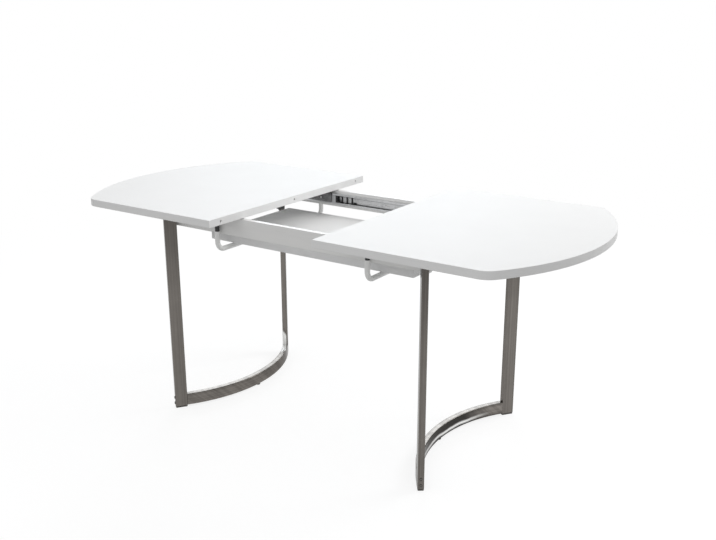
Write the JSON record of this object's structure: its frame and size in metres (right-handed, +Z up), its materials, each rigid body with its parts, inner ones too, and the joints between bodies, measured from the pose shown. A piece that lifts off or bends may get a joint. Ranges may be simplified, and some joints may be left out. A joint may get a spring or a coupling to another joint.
{
  "type": "extending dining table",
  "caption": "White dining table with bowed ends whose split top rolls apart on ball-bearing slides, on arched flat-steel leg frames, with leaf boards stored on tube hangers below.",
  "frame": {"origin": "on the floor, under the middle of the open table", "axes": "+X along the table to the right end, +Y to the back, +Z up"},
  "size_m": [1.7898, 0.843, 0.75],
  "materials": {
    "white_laminate": "fine-textured white melamine on board, with matching edging",
    "white_lacquer": "satin white lacquered rails",
    "brushed_tube": "steel tube brushed along its length",
    "zinc_steel": "bright zinc-plated pressed steel",
    "white_tube": "white powder coat",
    "black_plastic": "moulded black plastic",
    "bright_steel": "plated screws, bolts and pins",
    "bearing_steel": "polished bearing balls"
  },
  "bodies": {
    "centre_frame": {"front_rail": "white_lacquer", "back_rail": "white_lacquer", "front_channel": "zinc_steel", "back_channel": "zinc_steel", "left_cross_tie": "zinc_steel", "right_cross_tie": "zinc_steel", "channel_screws": "bright_steel", "tie_screws": "bright_steel"},
    "left_half": {"left_top": "white_laminate", "left_base_bar": "brushed_tube", "left_frame_bolts": "bright_steel", "left_glides": "black_plastic", "left_hanger": "white_tube", "left_runner_bumpers": "black_plastic", "left_screws": "bright_steel", "left_front_leg": "brushed_tube", "left_front_leg_plate": "zinc_steel", "left_front_hanger_plug": "black_plastic", "left_front_angle": "zinc_steel", "left_front_runner": "zinc_steel", "left_back_leg": "brushed_tube", "left_back_leg_plate": "zinc_steel", "left_back_hanger_plug": "black_plastic", "left_back_angle": "zinc_steel", "left_back_runner": "zinc_steel", "latch_housing": "black_plastic"},
    "left_cages": {"left_front_cage": "black_plastic", "left_back_cage": "black_plastic", "left_slide_balls": "bearing_steel"},
    "left_leaf": {"left_leaf_board": "white_laminate", "left_leaf_pin": "bright_steel"},
    "right_half": {"right_top": "white_laminate", "right_base_bar": "brushed_tube", "right_frame_bolts": "bright_steel", "right_glides": "black_plastic", "right_hanger": "white_tube", "right_runner_bumpers": "black_plastic", "right_screws": "bright_steel", "right_front_leg": "brushed_tube", "right_front_leg_plate": "zinc_steel", "right_front_hanger_plug": "black_plastic", "right_front_angle": "zinc_steel", "right_front_runner": "zinc_steel", "right_back_leg": "brushed_tube", "right_back_leg_plate": "zinc_steel", "right_back_hanger_plug": "black_plastic", "right_back_angle": "zinc_steel", "right_back_runner": "zinc_steel", "latch_keeper": "black_plastic", "right_dowel_pins": "bright_steel"},
    "right_cages": {"right_front_cage": "black_plastic", "right_back_cage": "black_plastic", "right_slide_balls": "bearing_steel"},
    "right_leaf": {"right_leaf_board": "white_laminate", "right_leaf_pin": "bright_steel"},
    "latch_bolt": {"latch_bolt": "black_plastic"}
  },
  "joints": [
    {"name": "left_half_slide", "type": "slide", "parent": "centre_frame", "child": "left_half", "axis": [1, 0, 0], "range_m": [-0.004, 0.1949]},
    {"name": "left_cage_roll", "type": "slide", "parent": "centre_frame", "child": "left_cages", "axis": [1, 0, 0], "range_m": [-0.002, 0.09745]},
    {"name": "left_leaf_slide", "type": "slide", "parent": "centre_frame", "child": "left_leaf", "axis": [-1, 0, 0], "range_m": [0, 0.9]},
    {"name": "right_half_slide", "type": "slide", "parent": "centre_frame", "child": "right_half", "axis": [-1, 0, 0], "range_m": [-0.004, 0.1949]},
    {"name": "right_cage_roll", "type": "slide", "parent": "centre_frame", "child": "right_cages", "axis": [-1, 0, 0], "range_m": [-0.002, 0.09745]},
    {"name": "right_leaf_slide", "type": "slide", "parent": "centre_frame", "child": "right_leaf", "axis": [1, 0, 0], "range_m": [0, 0.9]},
    {"name": "latch_bolt_slide", "type": "slide", "parent": "left_half", "child": "latch_bolt", "axis": [1, 0, 0], "range_m": [0, 0.018]}
  ],
  "couplings": [
    {"joint": "left_cage_roll", "follows": "left_half_slide", "ratio": 0.5},
    {"joint": "right_cage_roll", "follows": "right_half_slide", "ratio": 0.5}
  ]
}
